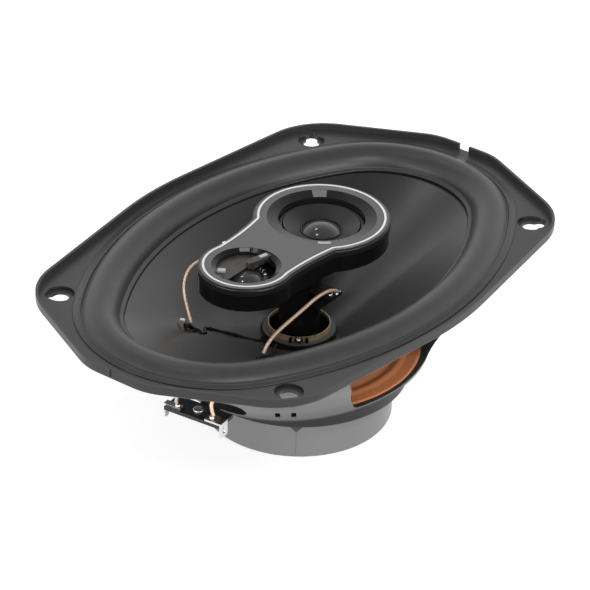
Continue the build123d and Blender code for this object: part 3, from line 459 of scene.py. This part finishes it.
def add_foot_line():
    """Thin raised line of the gasket along the roll's outer foot."""
    inner = ROLL_MIDDLE + ROLL_HALF + FOOT_GAP
    outer = inner + FOOT_WIDTH
    low, high = FLANGE_Z + EDGE - FOOT_SINK, FLANGE_Z + EDGE + FOOT_RISE
    outline = [(inner, low), (inner, high - 0.6 * BEVEL), (inner + 0.75 * BEVEL, high),
               (outer - BEVEL, high), (outer, high - BEVEL), (outer, low)]
    stations = oval_stations(360)
    points = [oval_point(station, width, z) for station in stations for width, z in outline]
    faces = grid_faces(len(stations), len(outline), True, True)
    obj = mesh_object("foot_line", points, faces, "gasket_paper")
    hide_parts("surround_gasket")
    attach(obj, "frame")


SPIDER_IN, SPIDER_ROLL, SPIDER_EDGE = 13.1, 45.4, 49.6
SPIDER_Z = 30.0
SPIDER_WAVES, SPIDER_WAVE = 6, 0.6      # corrugations and their height
LANDING_OVALITY = 0.04
WAVE_STEPS, LANDING_STEPS = 84, 4
CLOTH = 0.55


def spider_section():
    """Half width, ovality and height along the cloth, from the former to its edge."""
    section = []
    for i in range(WAVE_STEPS + 1):
        radius = SPIDER_IN + (SPIDER_ROLL - SPIDER_IN) * i / WAVE_STEPS
        lift = SPIDER_WAVE * (1 - math.cos(2 * math.pi * SPIDER_WAVES * i / WAVE_STEPS)) / 2
        section.append((radius, 0.0, SPIDER_Z + lift))
    for i in range(1, LANDING_STEPS + 1):
        share = i / LANDING_STEPS
        radius = SPIDER_ROLL + (SPIDER_EDGE - SPIDER_ROLL) * share
        section.append((radius, LANDING_OVALITY * share, SPIDER_Z))
    return section


def add_spider():
    section = spider_section()
    closed = [(r, ovality, z + CLOTH) for r, ovality, z in section] + section[::-1]
    stations = oval_stations(180)
    points = [oval_point(station, r, z, ovality) for station in stations for r, ovality, z in closed]
    faces = grid_faces(len(stations), len(closed), True, True)
    obj = mesh_object("cloth_spider", points, faces, "spider_cloth")
    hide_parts("spider")
    set_blend(obj)


# --- braided leads --------------------------------------------------------------

BRAID_R = 0.76
BRAID_PITCH = 6.0           # length in which one strand goes once round
BRAID_STRANDS = 4
BRAID_AROUND = 22           # points round the braid
BRAID_CORE, BRAID_WEAVE = 0.93, 0.09    # shares of the radius that are smooth and that the strands add


def soft_path(corners, step=0.18):
    """Points of a smooth curve that is drawn towards the corners of a polyline."""
    corners = [Vector(corner) for corner in corners]
    joints = [corners[0]] + [(a + b) / 2 for a, b in zip(corners[1:-1], corners[2:-1])] + [corners[-1]]
    points = []
    for start, pull, end in zip(joints, corners[1:-1], joints[1:]):
        count = max(4, round((end - start).length / step))
        for i in range(count):
            t = i / count
            points.append((1 - t) ** 2 * start + 2 * t * (1 - t) * pull + t ** 2 * end)
    return points + [corners[-1]]


def frames_along(points):
    """Two side vectors at each point, turning as little as possible along the way."""
    side = Vector((0, 0, 1))
    frames = []
    for i in range(len(points)):
        ahead = points[min(i + 1, len(points) - 1)] - points[max(i - 1, 0)]
        ahead.normalize()
        if abs(ahead.dot(side)) > 0.95:
            side = ahead.orthogonal()
        side = (side - ahead * side.dot(ahead)).normalized()
        frames.append((side, ahead.cross(side)))
    return frames


def braided_tube(name, corners, slot):
    """Round lead whose strands cross each other in both directions."""
    points = soft_path(corners)
    rings = []
    travelled = 0.0
    last = points[0]
    for point, (side, other) in zip(points, frames_along(points)):
        travelled += (point - last).length
        last = point
        twist = 2 * math.pi * travelled / BRAID_PITCH
        for j in range(BRAID_AROUND):
            angle = 2 * math.pi * j / BRAID_AROUND
            weave = max(math.cos(BRAID_STRANDS * (angle + way * twist)) for way in (1, -1))
            radius = BRAID_R * (BRAID_CORE + BRAID_WEAVE * weave)
            rings.append(point + radius * (math.cos(angle) * side + math.sin(angle) * other))
    faces = grid_faces(len(points), BRAID_AROUND, False, True)
    faces.append(tuple(reversed(range(BRAID_AROUND))))
    faces.append(tuple(range(len(rings) - BRAID_AROUND, len(rings))))
    return mesh_object(name, rings, faces, slot)


def blend_along(obj):
    """Bakes the lead's place into its mesh."""
    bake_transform(obj)
    obj.data.update()


# Corners of the leads: share of the way from one end to the other, then the shift outwards and up.
RIGHT_LEAD = ((0.0, 0.0, 0.0), (0.09, 0.3, 3.8), (0.30, 0.4, 6.2), (0.52, 0.4, 5.6),
              (0.73, 0.3, 5.4), (0.885, 0.2, 4.6), (0.975, 0.1, 2.2), (1.0, 0.0, 0.0))
LEFT_LEAD = ((0.0, 0.0, 0.0), (0.14, 1.6, 5.8), (0.31, 4.0, 11.6), (0.48, 6.0, 15.6), (0.66, 7.6, 17.0),
             (0.80, 9.0, 16.6), (0.90, 8.0, 12.0), (0.96, 4.4, 6.0), (1.0, 0.0, 0.0))
BACK_LEAD = ((0.0, 0.0, 0.0), (-0.03, -0.6, 3.4), (-0.01, -1.0, 7.0), (0.33, 0.4, 3.4),
             (0.7, 0.4, -1.2), (1.0, 0.0, 0.0))
UPPER_LEADS = (("braid_right", "lead_right", RIGHT_LEAD, -1), ("braid_left", "lead_left", LEFT_LEAD, 1))
BOARD_END = Vector((1.0, 18.0, 61.35))      # where an upper lead leaves the crossover board
EYELET = Vector((-48.49, 18.19, 55.53))     # middle of an eyelet's blob on the cone
INTO_EYELET = Vector((0.6, 0, 0.3))
PADS = {-1: Vector((-68.5, -9.8, 33.6)), 1: Vector((-70.3, 7.7, 33.6))}     # on the terminal board
CONE_BACK = Vector((-51.57, 16.81, 51.64))  # where a terminal lead meets the cone's back


def along(start, end, runs, side):
    """Corners of a lead between two points, each pushed off the straight line."""
    return [start + (end - start) * share + Vector((0, side * out, up)) for share, out, up in runs]


def mirrored(point, side):
    return Vector((point.x, side * point.y, point.z))


def add_leads():
    for name, node, runs, side in UPPER_LEADS:
        corners = along(mirrored(BOARD_END, side), mirrored(EYELET + INTO_EYELET, side), runs, side)
        obj = braided_tube(name, corners, "copper_wire")
        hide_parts(node)
        blend_along(obj)
    for name, side in (("braid_terminal_right", -1), ("braid_terminal_left", 1)):
        corners = along(PADS[side], mirrored(CONE_BACK, side), BACK_LEAD, side)
        obj = braided_tube(name, corners, "copper_wire")
        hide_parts("terminal_leads")
        blend_along(obj)


# --- glue and solder ------------------------------------------------------------

rough = random.Random(7)
SINK = 0.15                 # how deep glue reaches into the cone's paper
BEAD_ENDS = 6               # points over which a bead swells at each end
BEAD_WANDER, BEAD_RETURN = 0.12, 0.2    # how much its width changes at each point, and how fast that fades
MOUND_WOBBLE = (0.86, 1.14)
LINE_HALF_WIDTH, LINE_HEIGHT = 0.85, 1.05
LEAD_LINE = ((-48.3, 15.0), (-45.6, 13.7), (-43.4, 14.1), (-41.8, 16.0), (-40.2, 16.6), (-37.0, 15.1),
             (-34.2, 13.3), (-31.3, 11.3), (-26.5, 7.4), (-21.2, 3.7), (-16.4, 1.9))
# Blobs at an eyelet: shift from its middle along X and outwards, radius and height.
EYELET_BLOBS = ((0.0, 0.0, 2.75, 1.9), (2.4, -2.0, 1.7, 1.2))
BOARD_TOP_Z = 60.6
BOARD_DROPS = ((-1.8, 16.5, 1.1), (1.8, 16.5, 1.1), (0.0, 15.4, 0.9), (0.3, 17.9, 0.9), (2.6, 17.9, 0.55))
DROP_SINK, DROP_FLAT = 0.05, 0.8        # how deep a drop of solder sits, and its height against its radius


def bead(path, half_width, height):
    """Rounded, uneven line of glue on the cone's front."""
    across = 9
    points = []
    drift = 0.0
    for i, (x, y) in enumerate(path):
        x0, y0 = path[max(i - 1, 0)]
        x1, y1 = path[min(i + 1, len(path) - 1)]
        length = math.hypot(x1 - x0, y1 - y0)
        side = (-(y1 - y0) / length, (x1 - x0) / length)
        drift += rough.uniform(-BEAD_WANDER, BEAD_WANDER) - BEAD_RETURN * drift
        from_end = min(i, len(path) - 1 - i) / BEAD_ENDS
        swell = math.sqrt(min(1.0, 0.05 + from_end)) * (1 + drift)
        for j in range(across):
            t = 2 * j / (across - 1) - 1
            px = x + side[0] * t * half_width * swell
            py = y + side[1] * t * half_width * swell
            points.append((px, py, cone_front(px, py) - SINK + height * swell * math.sqrt(1 - t * t)))
    return points, grid_faces(len(path), across)


def dome_faces(rings, around):
    """Faces of a dome whose rings of points go from its top outwards."""
    return flipped(grid_faces(rings, around, False, True)) + [tuple(range(around))]


def mound(x, y, radius, height):
    """Uneven blob of glue on the cone's front."""
    around, rings = 28, 7
    wobble = [rough.uniform(*MOUND_WOBBLE) for _ in range(around)]
    wobble = [(wobble[i - 1] + 2 * wobble[i] + wobble[(i + 1) % around]) / 4 for i in range(around)]
    points = []
    for k in range(rings):
        share = k / (rings - 1)
        for (c, s), stretch in zip(circle(around), wobble):
            reach = max(share, 0.02) * radius * stretch
            px, py = x + reach * c, y + reach * s
            points.append((px, py, cone_front(px, py) - SINK + height * math.sqrt(1 - share * share)))
    return points, dome_faces(rings, around)


def solder_drop(x, y, z, radius):
    """Uneven shiny drop that sits on the height z."""
    around, rings = 16, 8
    points = []
    for k in range(rings):
        tilt = math.pi / 2 * k / (rings - 1)
        for c, s in circle(around):
            reach = radius * math.sin(tilt) * (1 + rough.uniform(-0.1, 0.1) * math.sin(tilt))
            points.append((x + reach * c, y + reach * s, z + radius * DROP_FLAT * math.cos(tilt)))
    return points, dome_faces(rings, around)


def whole_drop(x, y, z, radii, unevenness):
    """Drop with an uneven skin, given by its middle."""
    around, rings = 20, 12
    points = []
    for k in range(rings):
        tilt = math.pi * (k + 0.5) / rings
        for c, s in circle(around):
            size = 1 + rough.uniform(-unevenness, unevenness)
            points.append((x + radii[0] * size * math.sin(tilt) * c,
                           y + radii[1] * size * math.sin(tilt) * s,
                           z + radii[2] * size * math.cos(tilt)))
    bottom = tuple(reversed(range(len(points) - around, len(points))))
    return points, dome_faces(rings, around) + [bottom]


def smooth_plan(corners):
    """Close points on a smooth plan curve drawn towards the corners."""
    return [(point.x, point.y) for point in soft_path([(x, y, 0) for x, y in corners], step=0.5)]


def add_glue():
    plans = [smooth_plan([(x, side * y) for x, y in LEAD_LINE]) for side in (-1, 1)]
    lines = [bead(plan, LINE_HALF_WIDTH, LINE_HEIGHT) for plan in plans]
    obj = joined_mesh("glued_lines", lines, "black_glue")
    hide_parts("coil_lead_lines")
    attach(obj, "cone_assembly")
    blobs = [mound(EYELET.x + ahead, side * (EYELET.y + out), radius, height)
             for ahead, out, radius, height in EYELET_BLOBS for side in (-1, 1)]
    obj = joined_mesh("eyelet_glue", blobs, "black_glue")
    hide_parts("cone_eyelets")
    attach(obj, "cone_assembly")


def add_solder():
    drops = [solder_drop(x, side * y, BOARD_TOP_Z - DROP_SINK, radius)
             for side in (-1, 1) for x, y, radius in BOARD_DROPS]
    obj = joined_mesh("board_solder", drops, "solder")
    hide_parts("crossover_solder")
    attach(obj, "frame")


# --- the bridge's small details -------------------------------------------------

MID_X, TWEETER_X = 13.5, -36.3
PATCH_LIFT = 0.06
# Painted highlights on a mouth's chamfer: the mouth's X, the patch's angle and half angle in degrees, and
# the radius and height of its outer and inner edge.
FAR_PAINTED_HIGHLIGHTS = ((MID_X, 39.3, 8.3, ((22.1, 83.95), (17.9, 82.95))),
               (TWEETER_X, 40.7, 9.0, ((13.7, 83.9), (12.1, 83.0))))
NEAR_PAINTED_HIGHLIGHTS = ((MID_X, 219.5, 7.2, ((22.0, 83.93), (19.0, 83.2))),)
MID_BEAD = ((8.75, 77.45), (8.65, 78.05), (8.3, 78.25), (7.95, 78.1), (7.85, 77.6))     # radius and height
# The phase plate's bar runs from the tweeter mouth's wall to the middle of the dome.
BAR_WALL, BAR_TIP = Vector((TWEETER_X + 13.0, -1.2)), Vector((TWEETER_X + 3.6, 0.9))
# Place, height and sizes of the painted highlight on the bar's top.
BAR_TOP_SHARE, BAR_TOP_SHIFT, BAR_TOP_Z = 0.26, 0.3, 83.72
BAR_TOP_SIZES = (3.6, 1.7, 0.12)
STOP_AT, STOP_SIZES, STOP_TURN = (-43.2, 7.0, 81.9), (2.2, 3.4, 1.5), 35
# Middles and radii of the soldered wire ends beside the tweeter's dome, and of the glue on them.
WIRE_JOINTS = ((-28.7, -1.6, 79.4, 0.8), (-29.5, -3.6, 79.4, 0.9), (-30.9, -5.5, 79.3, 0.7))
WIRE_GLUE = ((-28.9, -2.6, 79.6, 0.9), (-28.4, -0.4, 79.6, 0.8), (-30.1, -4.7, 79.6, 0.9))
WIRE_DROP_FLAT, WIRE_DROP_UNEVEN = 0.7, 0.3
NUB_AT, NUB_RADII, NUB_UNEVEN = (-28.1, 17.25, 84.05), (0.95, 0.95, 0.29), 0.03


def chamfer_patch(centre_x, angle, half_angle, edges):
    """Thin patch of painted highlight on a mouth's chamfer, between two edges about the mouth's centre."""
    steps = 8
    points = []
    for i in range(steps + 1):
        turn = math.radians(angle + half_angle * (2 * i / steps - 1))
        for radius, z in edges:
            points.append((centre_x + radius * math.cos(turn), radius * math.sin(turn), z + PATCH_LIFT))
    return points, flipped(grid_faces(steps + 1, 2))


def add_painted_highlights():
    """Painted highlights on the chamfers of the two mouths."""
    for name, patches, paint in (("painted_highlights_far", FAR_PAINTED_HIGHLIGHTS, "painted_highlight_soft"),
                                 ("painted_highlight_near", NEAR_PAINTED_HIGHLIGHTS, "painted_highlight_and_pale_block")):
        obj = joined_mesh(name, [chamfer_patch(*patch) for patch in patches], "bezel_satin")
        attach(obj, "frame")
        dress(obj, paint)


def add_tweeter_details():
    """Painted highlight on the top of the phase plate's bar, its pale stop block and the wire ends beside
    the dome.
    """
    top = BAR_WALL.lerp(BAR_TIP, BAR_TOP_SHARE)
    turn = math.degrees(math.atan2(BAR_WALL.y - BAR_TIP.y, BAR_WALL.x - BAR_TIP.x))
    bar_highlight = block(top.x, top.y + BAR_TOP_SHIFT, BAR_TOP_Z, BAR_TOP_SIZES, turn)
    stop = block(*STOP_AT, STOP_SIZES, STOP_TURN)
    # The bar's painted highlight and the pale stop block take the pale paint.
    for name, part in (("phase_bar_painted_highlight", bar_highlight), ("phase_stop", stop)):
        obj = mesh_object(name, *part, "phase_satin", smooth=False)
        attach(obj, "frame")
        dress(obj, "painted_highlight_and_pale_block")
    for name, places, slot in (("tweeter_wire_joints", WIRE_JOINTS, "terminal_tin"),
                               ("tweeter_wire_glue", WIRE_GLUE, "black_glue")):
        drops = [whole_drop(x, y, z, (r, r, WIRE_DROP_FLAT * r), WIRE_DROP_UNEVEN) for x, y, z, r in places]
        obj = joined_mesh(name, drops, slot)
        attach(obj, "tweeter_diaphragm")


def add_mid_bead():
    """Black glue round the foot of the mid's dome."""
    obj = mesh_object("mid_dome_bead", *turned_ring(MID_BEAD, MID_X), "black_glue")
    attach(obj, "mid_diaphragm")


def add_bridge_details():
    """Nub on the silver line's far side."""
    obj = mesh_object("line_nub", *whole_drop(*NUB_AT, NUB_RADII, NUB_UNEVEN), "silver_line")
    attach(obj, "frame")


# --- details of the neck, the magnet's cover and an eyelet ----------------------

SEAM = math.radians(-143.8)     # side on which the cover's seam and the coil's wires lie
FORMER_LINER = ((12.47, 22.0), (12.47, 39.6), (12.25, 39.6), (12.25, 22.0))     # radius and height
NECK_GLUE_HALF_TURN = math.radians(64)
NECK_GLUE_IN, NECK_GLUE_REACH, NECK_GLUE_HEIGHT = 13.4, 11.0, 0.75
JOINT_R, JOINT_Z, JOINT_RADII, JOINT_UNEVEN = 13.5, 39.9, (1.25, 1.25, 1.35), 0.16
COVER_R = 39.33                 # just outside the cover's side
SEAM_HALF_WIDTH, SEAM_HEIGHTS = 0.13, (1.6, 13.4)
NOTCH_LIFT, NOTCH_HALF_WIDTH, NOTCH_HEIGHTS = 0.12, 2.6, (12.6, 15.0)
TAB_AT, TAB_SIZES, TAB_TURN = (-49.6, 21.2, 56.9), (1.6, 2.2, 0.4), 20


def add_former_liner():
    """Dark paper inside the former, below its rim."""
    obj = mesh_object("former_liner", *turned_ring(FORMER_LINER), "black_plastic", smooth=False)
    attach(obj, "cone_assembly")


def add_neck_glue():
    """Dark glue on the cone round the near side of the former, and the soldered joint on the former."""
    steps, across = 60, 9
    points = []
    for i in range(steps + 1):
        share = 2 * i / steps - 1
        angle = SEAM + NECK_GLUE_HALF_TURN * share
        reach = NECK_GLUE_REACH * math.sqrt(max(1 - share * share, 0.01))
        for j in range(across):
            t = j / (across - 1)
            x, y, z = turned_point(NECK_GLUE_IN + reach * t, angle, 0)
            thick = NECK_GLUE_HEIGHT * math.sqrt(max(1 - t ** 4, 0)) * rough.uniform(0.85, 1.1)
            points.append((x, y, cone_front(x, y) - SINK + thick))
    obj = mesh_object("neck_glue_near", points, grid_faces(steps + 1, across), "black_glue")
    dress(obj, "neck_black")
    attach(obj, "cone_assembly")
    joint = whole_drop(*turned_point(JOINT_R, SEAM, JOINT_Z), JOINT_RADII, JOINT_UNEVEN)
    obj = mesh_object("coil_joint", *joint, "solder")
    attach(obj, "cone_assembly")


def add_cover_seam():
    """Line of the cover's seam and the shadow in the notch above it."""
    half_line, half_notch = SEAM_HALF_WIDTH / COVER_R, NOTCH_HALF_WIDTH / COVER_R
    line = [turned_point(COVER_R, SEAM + half_line * way, z) for z in SEAM_HEIGHTS for way in (-1, 1)]
    low, high = NOTCH_HEIGHTS
    notch = [turned_point(COVER_R + NOTCH_LIFT, SEAM + half_notch * way, z)
             for way, z in ((-1, high), (0, low), (1, high))]
    for name, points, face, paint in (("cover_seam", line, (0, 1, 3, 2), "seam_grey"),
                                      ("cover_notch", notch, (0, 1, 2), "gasket_paper")):
        obj = mesh_object(name, points, [face], "cover_steel", smooth=False)
        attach(obj, "frame")
        dress(obj, paint)


def add_eyelet_tab():
    """Tinned tab beside the left eyelet."""
    obj = mesh_object("eyelet_tab", *block(*TAB_AT, TAB_SIZES, TAB_TURN), "terminal_tin", smooth=False)
    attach(obj, "cone_assembly")


add_surround()
add_foot_line()
add_spider()
add_leads()
add_glue()
add_solder()
add_painted_highlights()
add_former_liner()
add_tweeter_details()
add_mid_bead()
add_neck_glue()
add_cover_seam()
add_bridge_details()
add_eyelet_tab()


# --- camera, floor and light ----------------------------------------------------

CAMERA_AT = Vector((-0.8805, -0.6437, 0.7094))
CAMERA_FORWARD = Vector((0.69081, 0.50697, -0.51552))
CAMERA_UP = Vector((0.39971, 0.32635, 0.85658))
CAMERA_LENS = 191.4             # for a sensor 36 mm wide
CAMERA_CLIP = (0.05, 20.0)
WORLD_LIGHT = 0.6
HORIZON_LIFT = (0.35, 0.95)     # heights of a reflected ray between which the room darkens
CEILING = 0.16                  # brightness of the room's ceiling in reflections
WHITE = (1.0, 1.0, 1.0, 1.0)
FLOOR_HALF, FLOOR_Z = 6.0, -0.0001
FLOOR_GREY, FLOOR_GLOW = (0.5, 0.5, 0.5, 1.0), 0.75
STAND = (0, 0, 0.05)            # the point that most lamps look at


def add_camera():
    data = bpy.data.cameras.new("camera")
    data.lens = CAMERA_LENS
    data.sensor_width = 36.0
    data.clip_start, data.clip_end = CAMERA_CLIP
    camera = bpy.data.objects.new("camera", data)
    back = -CAMERA_FORWARD.normalized()
    right = CAMERA_UP.cross(back).normalized()
    up = back.cross(right)
    camera.matrix_world = Matrix.Translation(CAMERA_AT) @ Matrix((right, up, back)).transposed().to_4x4()
    bpy.context.scene.collection.objects.link(camera)
    bpy.context.scene.camera = camera


def seen_directly(nodes):
    """1 for camera, glossy and transmission rays, which see the plain white background."""
    path = nodes.node("ShaderNodeLightPath").outputs
    seen = nodes.combine("MAXIMUM", path["Is Camera Ray"], path["Is Glossy Ray"])
    return nodes.combine("MAXIMUM", seen, path["Is Transmission Ray"])


def reflected_room(nodes):
    """Brightness that reflections see, white walls under a darker ceiling, and 1 for the camera."""
    upward = nodes.upright_part(nodes.node("ShaderNodeTexCoord").outputs["Generated"])
    room = nodes.fade(upward, *HORIZON_LIFT, (1.0, CEILING))
    camera = nodes.node("ShaderNodeLightPath").outputs["Is Camera Ray"]
    return nodes.combine("MAXIMUM", room, camera)


def add_world():
    """Even light on the object, and a white room with a darker ceiling in what is seen directly."""
    world = bpy.data.worlds.new("white_room")
    world.use_nodes = True
    world.node_tree.nodes.clear()
    nodes = Nodes(world.node_tree)
    mix = nodes.node("ShaderNodeMixShader")
    nodes.feed(mix.inputs["Fac"], seen_directly(nodes))
    for socket, strength in ((1, WORLD_LIGHT), (2, reflected_room(nodes))):
        background = nodes.node("ShaderNodeBackground")
        nodes.feed(background.inputs["Color"], WHITE)
        nodes.feed(background.inputs["Strength"], strength)
        nodes.feed(mix.inputs[socket], background.outputs[0])
    nodes.feed(nodes.node("ShaderNodeOutputWorld").inputs["Surface"], mix.outputs[0])
    bpy.context.scene.world = world


def add_floor():
    """Floor that glows white where it is seen directly, and takes a soft shadow."""
    mesh = bpy.data.meshes.new("floor")
    corners = [(x * FLOOR_HALF, y * FLOOR_HALF, FLOOR_Z) for x, y in ((-1, -1), (1, -1), (1, 1), (-1, 1))]
    mesh.from_pydata(corners, [], [(0, 1, 2, 3)])
    floor = bpy.data.objects.new("floor", mesh)
    bpy.context.scene.collection.objects.link(floor)
    material = bpy.data.materials.new("floor_white")
    material.use_nodes = True
    material.node_tree.nodes.clear()
    nodes = Nodes(material.node_tree)
    diffuse = nodes.node("ShaderNodeBsdfDiffuse")
    nodes.feed(diffuse.inputs["Color"], FLOOR_GREY)
    glow = nodes.node("ShaderNodeEmission")
    nodes.feed(glow.inputs["Color"], WHITE)
    nodes.feed(glow.inputs["Strength"], nodes.combine("MULTIPLY", seen_directly(nodes), FLOOR_GLOW))
    both = nodes.node("ShaderNodeAddShader")
    nodes.feed(both.inputs[0], diffuse.outputs[0])
    nodes.feed(both.inputs[1], glow.outputs[0])
    nodes.feed(nodes.node("ShaderNodeOutputMaterial").inputs["Surface"], both.outputs[0])
    floor.data.materials.append(material)


def add_lamp(name, at, toward, size, power, shape="RECTANGLE", reflected=True):
    """Area lamp at one point that looks toward another, with its width and height and its watts."""
    data = bpy.data.lights.new(name, "AREA")
    data.shape = shape
    data.size, data.size_y = size
    data.energy = power
    lamp = bpy.data.objects.new(name, data)
    lamp.location = at
    lamp.rotation_euler = (Vector(toward) - Vector(at)).to_track_quat("-Z", "Y").to_euler()
    lamp.visible_glossy = reflected
    bpy.context.scene.collection.objects.link(lamp)


add_camera()
add_world()
add_floor()
add_lamp("softbox_left", (-1.25, 0.15, 0.30), (0, 0, 0.02), (0.9, 0.5), 6.0)
add_lamp("softbox_right", (-0.15, -1.25, 0.30), (0, 0, 0.02), (0.9, 0.5), 5.0)
add_lamp("strip_front", (-0.63, -0.87, 1.19), STAND, (0.8, 0.1), 4.0)
add_lamp("softbox_side", (1.1, -0.7, 0.9), STAND, (0.7, 0.7), 4.0, reflected=False)
add_lamp("spot_back", (0.43, 0.75, 1.35), STAND, (0.14, 0.14), 0.5, "ELLIPSE")
add_lamp("spot_top", (-0.12, 0.34, 1.56), STAND, (0.14, 0.14), 0.6, "ELLIPSE")
bpy.context.scene.view_settings.view_transform = "Standard"
